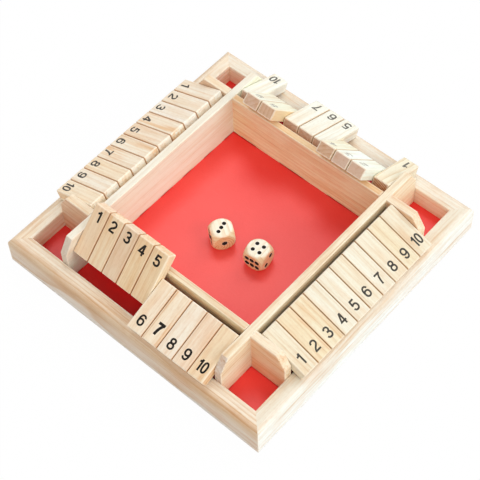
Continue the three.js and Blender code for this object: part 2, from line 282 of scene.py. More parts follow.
# %% The pine finish
def pine_finish(name, ring_gap, ring_depth, fibre_depth, roughness, gap_shade_depth=0.0,
                border=0.0, end_tint=SAWN_END, blotch=0.6, shade_depth=0.0):
    """Wood with rings ring_gap metres apart. The depths and blotch are strengths of stains.

    gap_shade_depth paints shade on the sides that stand against a neighbour, border leaves a pale
    rim round a sawn end, from wear and as a painted highlight on its round, and handled paints
    the shade of the first front tile on a long wall in front of the tray."""
    wood = Finish(name)
    place, tone = wood.mark("place"), wood.mark("tone", "Color")
    grain = wood.vector("ADD", place, wood.mark("shift"))
    sway = wood.noise(grain, (11, 30, 30), detail=1.5, output="Color")
    bent = wood.vector("MULTIPLY_ADD", sway, (0, 0.006, 0.006), grain)
    _, y, z = wood.parts(bent)
    sawn, figure, warmth = wood.parts(wood.mark("traits"))
    ring = ((y * y + z * z) ** 0.5 / ring_gap * figure**0.5).fraction()
    late = ring**2.6 * (1 - ring.step(0.9, 1.0))
    fibre = wood.noise(grain, (38, 820, 820), detail=3, roughness=0.62)
    streak = wood.noise(grain, (16, 240, 240), detail=2.5)
    cloud = wood.noise(grain, (17, 60, 60), detail=1)
    blush = wood.noise(grain, (48, 95, 95), detail=2)
    pore = wood.noise(grain, (210, 2400, 2400), detail=1).step(0.62, 0.74)
    line = wood.noise(grain, (9, 460, 460), detail=1.5).step(0.55, 0.66) * streak.step(0.36, 0.60)
    mottle = wood.noise(grain, (420, 1000, 1000), detail=1)
    speck = wood.noise(grain, (300, 1500, 1500), detail=2)

    x, across, through = wood.parts(place)
    reach_x, reach_y, reach_z = wood.parts(wood.mark("reach"))
    a, b, c = abs(x) - reach_x, abs(across) - reach_y, abs(through) - reach_z
    flank = b.step(-0.7 * MM, -0.2 * MM)
    end = sawn.step(0.55, 0.84)
    rim = end * b.most(c).step(-1.3 * MM, -0.6 * MM) * border
    core = end - rim
    gap_shade = flank * (wood.mark("tone", "Alpha") * gap_shade_depth)
    edge = a.least(b).most(a.most(b).least(c)).step(-1.3 * MM, -0.1 * MM)
    paler_lit = edge * (0.45 + 0.9 * streak) * (1 - end) * 0.45
    ahead = (0 - x).step(TRAY_HALF_DEPTH + 4 * MM, TRAY_HALF_DEPTH + 8 * MM)

    stains = (
        (late * figure * (ring_depth * (0.4 + 1.2 * cloud)), LATE_WOOD),
        (streak.step(0.48, 0.70) * (0.8 * blotch), STREAK),
        (fibre.step(0.42, 0.72) * fibre_depth, FIBRE),
        (blush.step(0.46, 0.72) * blotch, BLUSH),
        (pore * 0.22, PORE),
        (line * (0.8 * fibre_depth), LINE),
        (mottle.step(0.44, 0.66) * (0.7 * blotch), MOTTLE),
        (warmth * streak.step(0.44, 0.60) * cloud.step(0.40, 0.62), RESIN),
        (core * (0.75 + 0.5 * speck), end_tint),
        (core * late * (figure - 0.7), END_RING),
    )
    color = tone
    for mask, by in stains:
        color = wood.stain(color, mask, by)
    # Pale edges and end rims: partly wear, partly a painted highlight where the rounds catch light.
    color = wood.cover(color, rim.most(paler_lit) * (1 - gap_shade), WORN_EDGE_HIGHLIGHT)
    # Painted shade in the narrow gap beside a neighbour.
    color = wood.stain(color, gap_shade, GAP_SHADE)
    # Painted shade of the first front tile on the upper faces of the wall in front of the tray.
    upper_front = ahead * flank * through.step(-8 * MM, 4 * MM)
    color = wood.stain(color, upper_front * ((1 - end) * shade_depth), FIRST_TILE_SHADE)
    height = fibre * 0.5 + late * 0.3 - pore * 0.7 + streak * 0.2
    return wood.surface(
        Base_Color=color,
        Roughness=roughness + 0.14 * fibre + 0.1 * end - 0.08 * edge,
        Specular_IOR_Level=0.32,
        Normal=wood.bump(height, 0.12 * MM, 0.5),
    )


rail_pine = pine_finish("rail_pine", 3.1 * MM, 0.60, 0.65, 0.50)
wall_pine = pine_finish("wall_pine", 3.6 * MM, 0.50, 0.75, 0.48)
clear_pine = pine_finish("clear_pine", 3.6 * MM, 0.40, 0.35, 0.48, blotch=0.15, shade_depth=1.0)
tile_pine = pine_finish("tile_pine", 2.9 * MM, 0.42, 0.45, 0.47, 0.75, 0.6)
# The back row's copy: fainter grain, narrower pale rims, sawn ends painted darker as shade.
pale_tile_pine = pine_finish("pale_tile_pine", 2.9 * MM, 0.30, 0.30, 0.47, 0.7, 0.5, SHADED_END, 0.2)
dowel_wood = pine_finish("dowel_birch", 0.9 * MM, 0.3, 0.5, 0.55)
die_wood = pine_finish("die_beech", 2.2 * MM, 0.5, 0.3, 0.40, end_tint=DICE_END, blotch=0.15)
print("woods: 7, from", rail_pine.name, "to", die_wood.name)

# %% [markdown]
# ## Red lining
#
# The floor is lined with a thin bright red cloth glued flat on board. A fine weave breaks its
# gloss, and clouds of tone show where the nap lies one way or the other. Light and shade are
# painted into the red: paler round the middle of the tray, where the dice land, darker towards
# the walls, and the deepest red on the strips under the tiles and in the corner wells, where
# shade falls. Threads of under a millimetre are a bump here: two crossed sine waves.

# %% The red lining finish
THREAD_PAIR = 0.85 * MM
WALL_SHADE_RED, LIT_MIDDLE_RED = (0.93, 0.016, 0.014, 1), (0.91, 0.058, 0.048, 1)
CLOUD_RED, SLUB_RED = (0.95, 0.085, 0.070, 1), (1.0, 0.26, 0.22, 1)
SHADED_STRIP_RED, SHADED_WELL_RED = (0.98, 0.004, 0.008, 1), (1.0, 0.036, 0.030, 1)
DARK_WELL_RED = (0.66, 0.004, 0.005, 1)
WEAVE_SHADE, NAP_SHADE = (0.94, 0.72, 0.70, 1), (0.92, 0.70, 0.66, 1)


def lining_finish():
    cloth = Finish("red_lining")
    place = cloth.mark("place")
    x, y, _ = cloth.parts(place)
    turn = 2 * math.pi / THREAD_PAIR
    warp, weft = (cloth.add("Math", {"operation": "SINE"}, {0: way * turn}) for way in (x, y))
    weave = warp * weft * 0.5 + 0.5
    nap = cloth.noise(place, (900, 900, 900), detail=2, roughness=0.7)
    slub = cloth.noise(place, (60, 1500, 10), detail=2)
    cloud = cloth.noise(place, (16, 16, 16), detail=2)
    # Painted light and shade: paler round the tray's middle, deeper towards walls, strips and
    # wells.
    outside = abs(x).most(abs(y)).step(TRAY_HALF_WIDTH, LONG_WALL_OUTER)
    well = abs(x).least(abs(y)).step(TRAY_HALF_WIDTH, LONG_WALL_OUTER)
    shaded_well = well * (0 - x - y).step(120 * MM, 150 * MM)
    off_x, off_y = x - 1 * MM, y + 15 * MM
    paler_lit = 1 - ((off_x * off_x + off_y * off_y) ** 0.5).step(25 * MM, 98 * MM)
    color = cloth.cover(WALL_SHADE_RED, paler_lit, LIT_MIDDLE_RED)
    color = cloth.cover(color, cloud.step(0.42, 0.70) * 0.4, CLOUD_RED)
    color = cloth.cover(color, outside * 0.92, SHADED_STRIP_RED)
    color = cloth.cover(color, well * 0.92, SHADED_WELL_RED)
    color = cloth.cover(color, shaded_well * 0.7, DARK_WELL_RED)
    color = cloth.stain(color, weave * 0.22, WEAVE_SHADE)
    color = cloth.stain(color, nap.step(0.4, 0.8) * 0.35, NAP_SHADE)
    color = cloth.cover(color, slub.step(0.62, 0.8) * 0.12, SLUB_RED)
    return cloth.surface(
        Base_Color=color,
        Roughness=0.38 + 0.18 * nap,
        Specular_IOR_Level=0.80,
        Normal=cloth.bump(weave * 0.6 + nap * 0.5, 0.15 * MM, 0.30),
    )


red_cloth = lining_finish()
print("lining:", red_cloth.name)

# %% [markdown]
# ## Ink, spot paint and the base board
#
# The digits are printed, so the ink is thin: the fibres under it show as slightly paler
# hairs. The dice spots are drilled and then filled with a glossier paint. The panel under the
# lining is a plain brown board, pressed from fine fibres, that only shows from below.

# %% Dark finishes and the board
def ink_finish():
    ink = Finish("printed_ink")
    place = ink.mark("place")
    _, ink_paling, _ = ink.parts(ink.mark("traits"))
    hair = ink.noise(place, (120, 1500, 1500), detail=2).step(0.46, 0.74)
    color = ink.cover((0.015, 0.012, 0.010, 1), hair * 0.5, (0.070, 0.056, 0.046, 1))
    # Paler ink: on the flipped back tiles this is a painted glare.
    color = ink.cover(color, ink_paling * (0.6 + 0.6 * hair), (0.80, 0.74, 0.64, 1))
    return ink.surface(Base_Color=color, Roughness=0.6 + 0.2 * hair, Specular_IOR_Level=0.12)


def spot_finish():
    paint = Finish("spot_paint")
    place = paint.add("TexCoord", output="Object")
    grit = paint.noise(place, (1400, 1400, 1400), detail=2)
    color = paint.cover((0.008, 0.005, 0.004, 1), grit * 0.6, (0.030, 0.017, 0.013, 1))
    rough = paint.bump(grit, 0.05 * MM, 0.3)
    return paint.surface(
        Base_Color=color, Specular_IOR_Level=0.22, Roughness=0.4 + 0.25 * grit, Normal=rough)


def board_finish():
    board = Finish("base_board")
    place = board.add("TexCoord", output="Object")
    fleck = board.noise(place, (420, 420, 420), detail=4, roughness=0.7)
    cloud = board.noise(place, (22, 22, 22), detail=2)
    color = board.cover((0.40, 0.25, 0.135, 1), fleck.step(0.35, 0.7), (0.58, 0.40, 0.24, 1))
    color = board.stain(color, cloud * 0.5, (0.85, 0.80, 0.74, 1))
    rough = board.bump(fleck, 0.1 * MM, 0.4)
    return board.surface(Base_Color=color, Roughness=0.62 + 0.2 * fleck, Normal=rough)


printed_ink, spot_paint, base_board = ink_finish(), spot_finish(), board_finish()
panel_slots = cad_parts["base_panel"].data.materials
panel_slots.clear()
panel_slots.append(base_board)
print("dark finishes:", printed_ink.name, spot_paint.name, "and", base_board.name)

# %% [markdown]
# ## Sanded boards
#
# Every wooden piece but the rails and dice is a flat outline with a thickness, even a rod. It
# looks sanded when no edge is sharp. A Bevel modifier on a box would do, but its shading then
# needs help. Rounds built ring by ring give each point its true normal, so a few rings already
# look smooth.

# %% Outlines with rounded corners
def unit(vectors):
    return vectors / np.linalg.norm(vectors, axis=-1, keepdims=True)


def rounded_outline(corners, steps=5):
    """Points and outward normals round a convex outline of (x, y, radius), anticlockwise."""
    points, normals = [], []
    places = np.array([corner[:2] for corner in corners], float)
    for i, (*_, radius) in enumerate(corners):
        before, after = (unit(places[j % len(corners)] - places[i]) for j in (i - 1, i + 1))
        half = math.acos(float(np.clip(before @ after, -1, 1))) / 2
        centre = places[i] + unit(before + after) * radius / math.sin(half)
        start = math.atan2(before[0], -before[1])
        stop = math.atan2(-after[0], after[1])
        stop += 2 * math.pi if stop < start else 0
        for angle in np.linspace(start, stop, steps + 1):
            normal = np.array((math.cos(angle), math.sin(angle)))
            points.append(centre + radius * normal)
            normals.append(normal)
    return np.array(points), np.array(normals)


def box_outline(left, right, bottom, top, radius, steps=5):
    corners = ((left, bottom), (right, bottom), (right, top), (left, top))
    return rounded_outline([(x, y, radius) for x, y in corners], steps)


def round_outline(radius, sides=28, hole=False):
    """A circle, or the wall of a hole, which runs clockwise and faces its own middle."""
    angles = np.linspace(0, 2 * math.pi, sides, endpoint=False) * (-1 if hole else 1)
    ring = np.stack((np.cos(angles), np.sin(angles)), axis=1)
    return ring * radius, -ring if hole else ring


print("a rounded square has", len(box_outline(0, 9, 0, 9, 1)[0]), "points")

# %% A board from an outline
def joined(base, count, rings):
    """Faces between rings of count points each, of which the first point is base."""
    lows = range(base, base + (rings - 1) * count, count)
    steps = [(i, (i + 1) % count) for i in range(count)]
    return [(a + i, a + count + i, a + count + j, a + j) for a in lows for i, j in steps]


def slab(outlines, thickness, rim, rim_steps=3):
    """An outline in X and Z (and its holes) given a thickness along Y, with rounded rims.

    Returns points, faces and the true normal at each point."""
    half = thickness / 2
    turns = np.linspace(math.pi / 2, 0, rim_steps + 1)
    layers = [(-1, t) for t in turns] + [(1, t) for t in turns[::-1]]
    points, normals, faces, caps = [], [], [], {-1: [], 1: []}
    for flat, facing in outlines:
        count, base = len(flat), len(points)
        for side, t in layers:
            inset = rim * (1 - math.cos(t))
            depth = side * (half - rim * (1 - math.sin(t)))
            for (x, z), (nx, nz) in zip(flat, facing):
                points.append((x - nx * inset, depth, z - nz * inset))
                normals.append((nx * math.cos(t), side * math.sin(t), nz * math.cos(t)))
        faces += joined(base, count, len(layers))
        caps[-1].append(range(base, base + count))
        caps[1].append(range(base + (len(layers) - 1) * count, base + len(layers) * count))
    for side, rings in caps.items():
        order = [i for ring in rings for i in ring]
        loops = [[Vector((points[i][0], points[i][2], 0)) for i in ring] for ring in rings]
        for triangle in geometry.tessellate_polygon(loops):
            a, b, c = (order[i] for i in triangle)
            (ax, _, az), (bx, _, bz), (cx, _, cz) = points[a], points[b], points[c]
            anticlockwise = (bx - ax) * (cz - az) - (bz - az) * (cx - ax) > 0
            faces.append((a, b, c) if anticlockwise == (side < 0) else (a, c, b))
    return np.array(points), faces, np.array(normals)


# %% [markdown]
# The marks that the pine finish reads are written once for every mesh. Where in the tree a
# piece was sawn is random, but seeded by how many pieces were made before it, so that a rerun
# gives the same boards.

# %% Turn points and faces into a finished piece
PINE = np.array((0.885, 0.765, 0.600))
PALEST = 0.97                    # no wood sends back more of any colour than this
GRAIN_ORDER = {"x": [0, 1, 2], "y": [1, 0, 2]}
FIRST_SEED = 1000
pieces = []


def wooden(name, shape, finish, matrix, tone=(1, 1, 1), grain="x", heart=(0.03, 0.07),
           figure=1.0, warmth=0.25, raw=1.0, shaded_gap=1.0):
    """An object from points, faces and normals, with the marks that the pine finish reads.

    raw is how much its sawn ends still look sawn: 0 for ends sanded as smooth as its sides; a
    low raw also paints a lit end paler, as a highlight.
    seam is 1 where a neighbour stands against its sides, which paints shade in that gap, and 0
    where a side is in the open."""
    points, faces, normals = shape
    mesh = bpy.data.meshes.new(name)
    mesh.from_pydata(points.tolist(), [], faces)
    mesh.shade_smooth()
    if normals is not None:
        mesh.normals_split_custom_set_from_vertices(normals.tolist())
    chance = np.random.default_rng(FIRST_SEED + len(pieces))
    order = GRAIN_ORDER[grain]
    low, high = points.min(0), points.max(0)
    along = abs(points[:, order[0]]) * 2 / (high - low)[order[0]]
    sawn = along > 0.999 if normals is None else abs(normals[:, order[0]])
    angle, distance = chance.uniform(0, 2 * math.pi), chance.uniform(*heart)
    shift = (chance.uniform(-2, 2), distance * math.cos(angle), distance * math.sin(angle))
    each = np.ones((len(points), 1))
    board = np.minimum(each * PINE * np.array(tone), PALEST)
    marks = {
        "place": (points - (low + high) / 2)[:, order],
        "reach": each * (high - low)[order] / 2,
        "shift": each * shift,
        "traits": np.hstack((np.reshape(sawn * raw, (-1, 1)), each * figure, each * warmth)),
        "tone": np.hstack((board, each * np.reshape(shaded_gap, (-1, 1)))),
    }
    for mark, values in marks.items():
        kind, field = ("FLOAT_COLOR", "color") if mark == "tone" else ("FLOAT_VECTOR", "vector")
        written = mesh.attributes.new(mark, kind, "POINT")
        written.data.foreach_set(field, values.astype(np.float32).ravel())
    mesh.materials.append(finish)
    pieces.append(linked(name, mesh, matrix))
    return pieces[-1]


def toned(shape, base, *faces):
    """One tone all over, and others on what faces some directions: painted light and shade."""
    tone = np.array(base)
    for face, toward in faces:
        weight = np.clip(shape[2] @ np.array(toward, float), 0, 1)[:, None]
        tone = tone * (1 - weight) + np.array(face) * weight
    return tone


def square_ends(shape, low, high):
    """No round where an end is glued against another board: it would leave a groove."""
    points = shape[0]
    reach = WALL_EDGE + HAIR
    points[points[:, 0] < low + reach, 0] = low
    points[points[:, 0] > high - reach, 0] = high
    return shape


def settle(piece, body, node):
    """The piece moves with its CAD body and stands for its CAD node."""
    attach(piece, body)
    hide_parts(node)


SIDES = ("front", "right", "back", "left")


def side_turn(side):
    """From the front side, whose outward direction is -Y, to another side."""
    return Matrix.Rotation(SIDES.index(side) * math.pi / 2, 4, "Z")


print("pine in linear light:", PINE)

# %% [markdown]
# ## Outer frame
#
# Four rails meet in mitres, with a generous round along the outer top edge. Each rail is its
# section pushed along its length, with each point of an end drawn back to the mitre plane. One
# extra station near each end keeps the shading straight.

# %% Build the four rails
STATION = 20 * MM


def rail_shape():
    section, facing = rounded_outline([
        (RAIL_INNER, 0, 0.4 * MM),
        (FRAME_HALF, 0, 1 * MM),
        (FRAME_HALF, RAIL_HEIGHT, RAIL_ROUND),
        (RAIL_INNER, RAIL_HEIGHT, 1 * MM),
    ], steps=10)
    points, normals = [], []
    for end, inset in ((-1, 0), (-1, STATION), (1, STATION), (1, 0)):
        for (out, height), (nx, nz) in zip(section, facing):
            points.append((end * (out - HAIR - inset), -out, height))
            normals.append((0, -nx, nz))
    count, total = len(section), len(points)
    ends = [tuple(range(count)), tuple(range(total - count, total))[::-1]]
    return np.array(points), joined(0, count, total // count) + ends, np.array(normals)


# Per rail, painted light: the top, the outer face high and low, the shade on its round; figure.
ROUND_SHADE, FAINT_ROUND_SHADE = (0.03, 0.08, 0.12), (0.0, 0.02, 0.03)
RAIL_TONES = {
    "front": ((0.98, 1.00, 1.04), (0.77, 0.64, 0.50), (0.96, 1.08, 1.32), ROUND_SHADE, 1.5),
    "right": ((0.93, 0.99, 1.04), (1.00, 1.17, 1.38), (1.02, 1.26, 1.62), FAINT_ROUND_SHADE, 0.4),
    "back": ((0.98, 1.07, 1.18), (0.98, 1.04, 1.12), (0.98, 1.06, 1.18), ROUND_SHADE, 0.5),
    "left": ((1.03, 1.07, 1.12), (0.95, 0.90, 0.86), (0.96, 0.98, 1.02), ROUND_SHADE, 0.7),
}
# The rails' inner faces are painted paler, as light.
INNER_FACE = (1.06, 1.12, 1.20)


def rail_tone(shape, top, high, low, shade_depth):
    """Painted light: one tone for the top, one for the outer face high up and one for it low
    down, paler where the table throws light back up.

    handled is the painted shade on the round between them."""
    points, _, normals = shape
    outer = np.clip(-normals[:, 1:2], 0, 1)
    level = points[:, 2:3] / RAIL_HEIGHT
    face = np.array(low) * (1 - level) + np.array(high) * level
    rounded = 4 * outer * (1 - outer) * np.clip(normals[:, 2:3], 0, 1)
    return (np.array(top) * (1 - outer) + face * outer) * (1 - rounded * np.array(shade_depth))


for side in SIDES:
    shape = rail_shape()
    *tones, figure = RAIL_TONES[side]
    tone = toned(shape, rail_tone(shape, *tones), (INNER_FACE, (0, 1, 0)))
    rail = wooden(f"frame_rail_{side}", shape, rail_pine, side_turn(side), tone, figure=figure)
    settle(rail, "box", f"rail_{side}")
print("rails:", 4, "of", len(rail.data.polygons), "faces")

# %% [markdown]
# ## Floor lining
#
# The lining runs under the walls from rail to rail, so one thin sheet makes the tray, the
# strips under the tiles and the four corner wells.

# %% Build the lining
half_lining = RAIL_INNER - HAIR
outline = box_outline(-half_lining, half_lining, -half_lining, half_lining, 0.3 * MM, 2)
level_down = Matrix.Rotation(-math.pi / 2, 4, "X")
flat = Matrix.Translation((0, 0, FLOOR_TOP - LINING_THICKNESS / 2)) @ level_down
lining = wooden("floor_lining", slab([outline], LINING_THICKNESS, 0.2 * MM), red_cloth, flat)
settle(lining, "box", "red_lining")
# The weave is drawn in the sheet's own plane, which is X and Z of its mesh.
place = np.array([v.co for v in lining.data.vertices])[:, (0, 2, 1)]
lining.data.attributes["place"].data.foreach_set("vector", place.astype(np.float32).ravel())
print(f"lining {2e3 * half_lining:.1f} mm square")

# %% [markdown]
# ## Walls of the tray
#
# Two long walls run from rail to rail. Their ends are cut down in a slope to an upright, and
# they hold the rods of the front and back rows. Two short walls fit between them, and four
# cheek plates with the same sloped end are butted on outside for the rods of the other rows.

# %% Build the long walls, short walls and cheek plates
WALL_FOOT = FLOOR_TOP + HAIR
WALL_REACH = RAIL_INNER - HAIR
SHOULDER = RAIL_INNER - 0.3 * MM - END_SLOPE_WIDTH
SLOPE_FOOT = WALL_TOP - END_SLOPE_HEIGHT

SLOPED_END = [
    (WALL_REACH, WALL_FOOT, 0.2 * MM),
    (WALL_REACH, SLOPE_FOOT, WALL_EDGE),
    (SHOULDER, WALL_TOP, WALL_EDGE),
]
long_outline = rounded_outline([
    (-WALL_REACH, WALL_FOOT, 0.2 * MM),
    *SLOPED_END,
    (-SHOULDER, WALL_TOP, WALL_EDGE),
    (-WALL_REACH, SLOPE_FOOT, WALL_EDGE),
])
QUARTER = Matrix.Rotation(math.pi / 2, 4, "Z")
BACK_QUARTER = Matrix.Rotation(-math.pi / 2, 4, "Z")
# Tone over all, and painted light on the inner face, the outer face and the front end; figure;
# raw ends.
LONG_WALLS = {
    "left": (-1, clear_pine, (0.98, 1.08, 1.18), (1.03, 1.31, 1.36), (0.95, 0.92, 0.86),
             (0.98, 1.08, 1.18), 0.6, 1.0),
    "right": (1, wall_pine, (1.01, 1.04, 1.02), (1.03, 1.05, 1.0), (1.10, 1.20, 1.18),
              (1.04, 1.15, 1.36), 0.9, 0.9),
}
for name, (sign, finish, base, inner, outer, end, figure, raw) in LONG_WALLS.items():
    middle = sign * (TRAY_HALF_WIDTH + LONG_WALL_THICKNESS / 2)
    at = Matrix.Translation((middle, 0, 0)) @ QUARTER
    shape = slab([long_outline], LONG_WALL_THICKNESS, WALL_EDGE)
    tone = toned(shape, base, (inner, (0, sign, 0)), (outer, (0, -sign, 0)), (end, (-1, 0, 0)))
    wall = wooden(f"tray_long_wall_{name}", shape, finish, at, tone,
                  figure=figure, warmth=0.1, raw=raw)
    settle(wall, "box", f"long_wall_{name}")

short_half = TRAY_HALF_WIDTH - HAIR
short_outline = box_outline(-short_half, short_half, WALL_FOOT, WALL_TOP, 0.1 * MM, 2)
# Tone over all, painted light on the inner face and the outer face, and what is different at
# the foot.
SHORT_WALLS = {
    "front": ((0.95, 0.93, 0.86), (1.08, 1.03, 0.90), (1.12, 1.18, 1.05), (1, 1, 1)),
    "back": ((0.94, 0.77, 0.57), (1.04, 1.05, 0.94), (1.0, 0.9, 0.8), (1.04, 1.17, 1.10)),
}
for name, (base, inner, outer, foot) in SHORT_WALLS.items():
    middle = -(TRAY_HALF_DEPTH + SHORT_WALL_THICKNESS / 2)
    at = side_turn(name) @ Matrix.Translation((0, middle, 0))
    shape = slab([short_outline], SHORT_WALL_THICKNESS, WALL_EDGE)
    shape = square_ends(shape, -short_half, short_half)
    tone = toned(shape, base, (inner, (0, 1, 0)), (outer, (0, -1, 0)))
    tone = tone * (1 + (shape[0][:, 2:] < WALL_TOP / 2) * (np.array(foot) - 1))
    wall = wooden(f"tray_short_wall_{name}", shape, wall_pine, at, tone)
    settle(wall, "box", f"short_wall_{name}")

cheek_root = LONG_WALL_OUTER + HAIR
cheek_outline = rounded_outline([
    (cheek_root, WALL_FOOT, 0.2 * MM), *SLOPED_END, (cheek_root, WALL_TOP, 0.2 * MM),
])
CHEEK_TONE = (1.03, 1.03, 1.0)
# Painted shade: the faces of the cheek plates that look to the front are darker.
CHEEK_FRONT_SHADES = {"right": (-1, (0.99, 0.82, 0.70)), "left": (1, (0.94, 0.81, 0.74))}
for side, (forward, front) in CHEEK_FRONT_SHADES.items():
    for end, sign in (("first", -1), ("last", 1)):
        middle = sign * (TRAY_HALF_WIDTH + CHEEK_THICKNESS / 2)
        at = side_turn(side) @ Matrix.Translation((middle, 0, 0)) @ BACK_QUARTER
        shape = slab([cheek_outline], CHEEK_THICKNESS, WALL_EDGE)
        shape = square_ends(shape, cheek_root, FRAME_HALF)
        tone = toned(shape, CHEEK_TONE, (front, (0, forward, 0)))
        name = f"cheek_plate_{side}_{end}"
        cheek = wooden(name, shape, wall_pine, at, tone, figure=0.6, raw=0.4)
        settle(cheek, "box", f"cheek_{side}_{end}")
print("walls and cheek plates:", 8)

# %% [markdown]
# ## Rods
#
# A birch dowel runs through each row. Only a sliver of it shows between two tiles, but a tile
# that is flipped shows more.

# %% Build the four rods
rod_length = 2 * (TRAY_HALF_WIDTH + ROD_IN_WALL)
for side in SIDES:
    at = side_turn(side) @ Matrix.Translation((0, -ROD_REACH, ROD_HEIGHT)) @ QUARTER
    shape = slab([round_outline(ROD_RADIUS)], rod_length, 0.4 * MM)
    rod = wooden(f"dowel_{side}", shape, dowel_wood, at, (0.92, 0.86, 0.78), "y")
    settle(rod, "box", f"rod_{side}")
print(f"rods: 4, {1e3 * rod_length:.1f} mm long")

# %% [markdown]
# ## Tiles
#
# Forty tiles are sawn from a few strips of pine, whose tones are mixed along each row. A letter
# a tile says which strip it came from, in number order:
# w white, c cream, n plain, y yellow, h honey, p pink, s striped, o orange-streaked, g grey.
# Each strip has its tone and the strengths of its rings and of its warm streaks.

# %% Place and build the tiles
STRIPS = {
    "w": ((1.01, 1.05, 1.11), 0.5, 0.1),
    "c": ((1.01, 1.03, 1.05), 0.7, 0.2),
    "n": ((1.0, 1.0, 1.0), 0.9, 0.3),
    "y": ((1.0, 0.97, 0.90), 1.0, 0.3),
    "h": ((0.99, 0.92, 0.81), 0.9, 0.4),
    "p": ((1.0, 0.97, 0.97), 0.9, 0.2),
    "s": ((0.98, 0.92, 0.82), 3.2, 0.6),
    "o": ((1.01, 1.01, 1.0), 0.8, 0.75),
    "g": ((0.95, 0.92, 0.94), 1.3, 0.1),
}
# The strips of a row, and painted light: the tone of the whole row and the tone of its ends,
# paler or darker for how the light falls on that side.
ROWS = {
    "front": ("pogyynowph", (1.02, 1.01, 1.00), (1.0, 1.02, 1.06)),
    "right": ("nhywwcwcyn", (0.93, 1.00, 1.01), (1, 1, 1)),
    "back": ("scwynnnync", (1.01, 1.17, 1.32), (1.03, 0.87, 0.77)),
    "left": ("ccwonooycy", (1.09, 1.12, 1.17), (1.10, 1.09, 1.18)),
}
SHUT = {"front": (1, 2, 3, 4, 5), "right": (), "back": (2, 3, 4, 8, 9), "left": ()}
# Painted light on flipped tiles: front faces darker, back faces paler, front tips a highlight.
SHUT_TONES = {"front": (0.95, 0.88, 0.78), "back": (1.0, 1.04, 1.02)}
SHUT_FRONT_END = (1.10, 1.20, 1.32)
# Ends with less end-grain tint, painted paler as a highlight where the light falls on them.
LIT_ENDS = {("front", True): 0.3, ("left", False): 0.5}
# Sides in the open: front 5's is painted paler where light falls, back 8's darker and warmer.
OPEN_SIDES = {("front", 5): ((1.15, 1.28, 1.45), 1), ("back", 8): ((0.98, 0.78, 0.58), -1)}

half_tile = TILE_THICKNESS / 2
tile_outline = box_outline(-TILE_TAIL, TILE_TIP, -half_tile, half_tile, TILE_EDGE)
tile_bore = round_outline(ROD_RADIUS + BORE_CLEARANCE, hole=True)


def tile_matrix(side, number):
    """A tile's own X runs to its numbered end, and its Y along the row."""
    wall_outer = SHORT_WALL_OUTER if side in ("front", "back") else LONG_WALL_OUTER
    angle = leaning(wall_outer) - math.pi if number in SHUT[side] else LYING
    along = (number - (TILES + 1) / 2) * (TILE_WIDTH + TILE_GAP)
    spot = Matrix.Translation((along, -ROD_REACH, ROD_HEIGHT))
    return side_turn(side) @ spot @ Matrix.Rotation(angle, 4, "X") @ BACK_QUARTER


def beside(side, number, neighbour):
    """True where a neighbour stands at the same slope: shade is painted in the gap between them."""
    return 1 <= neighbour <= TILES and (neighbour in SHUT[side]) == (number in SHUT[side])


for side, (strips, row_tone, end_tone) in ROWS.items():
    for number, strip in enumerate(strips, start=1):
        shut = number in SHUT[side]
        tone, figure, warmth = STRIPS[strip]
        tone = np.array(tone) * row_tone * (SHUT_TONES[side] if shut else (1, 1, 1))
        end = np.array(SHUT_FRONT_END if shut and side == "front" else end_tone)
        shape = slab([tile_outline, tile_bore], TILE_WIDTH, TILE_RIM)
        tone = tone * (1 + abs(shape[2][:, :1]) ** 2 * (end - 1))
        open_tone, toward = OPEN_SIDES.get((side, number), ((1, 1, 1), 1))
        tone = toned(shape, tone, (tone * open_tone, (0, toward, 0)))
        after, before = (beside(side, number, number + step) for step in (1, -1))
        shaded_gap = np.where(shape[0][:, 1] > 0, after, before)
        finish = pale_tile_pine if side == "back" else tile_pine
        tile = wooden(
            f"tile_block_{side}_{number}", shape, finish, tile_matrix(side, number), tone,
            figure=figure, warmth=warmth, raw=LIT_ENDS.get((side, shut), 1.0), shaded_gap=shaded_gap,
        )
        settle(tile, f"tile_{side}_{number}", f"tile_{side}_{number}")
print("tiles:", 4 * TILES, "of", len(tile.data.polygons), "faces")

# %% [markdown]
# ## Printed digits
#
# The digits are a plain grotesque with strokes of even width, so each one is drawn as a pen
# would: a few arcs and lines, thickened to a ribbon. A text object would be quicker, but the
# built-in typeface has a bare 1. Each tile has its number on both faces, the right way up for
# the player who sits there. Some rows have their ink drawn paler, on the flipped back tiles as
# a painted glare, and one 7 was inked twice.

# %% Pen strokes of the ten digits
SQUARENESS = 0.88                # 1 draws plain ellipses, less draws squarer ones


def arc(cx, cy, rx, ry, start, stop, steps=18):
    angles = np.radians(np.linspace(start, stop, steps))
    wide, tall = (np.sign(v) * np.abs(v) ** SQUARENESS for v in (np.cos(angles), np.sin(angles)))
    return list(zip(cx + rx * wide, cy + ry * tall))


def sweep(a, b, c, d, steps=10):
    """A cubic curve from a to d that leaves towards b and arrives from c."""
    a, b, c, d = (np.array(p) for p in (a, b, c, d))
    curve = []
    for t in np.linspace(0, 1, steps):
        u = 1 - t
        curve.append(tuple(u**3 * a + 3 * t * u**2 * b + 3 * t * t * u * c + t**3 * d))
    return curve


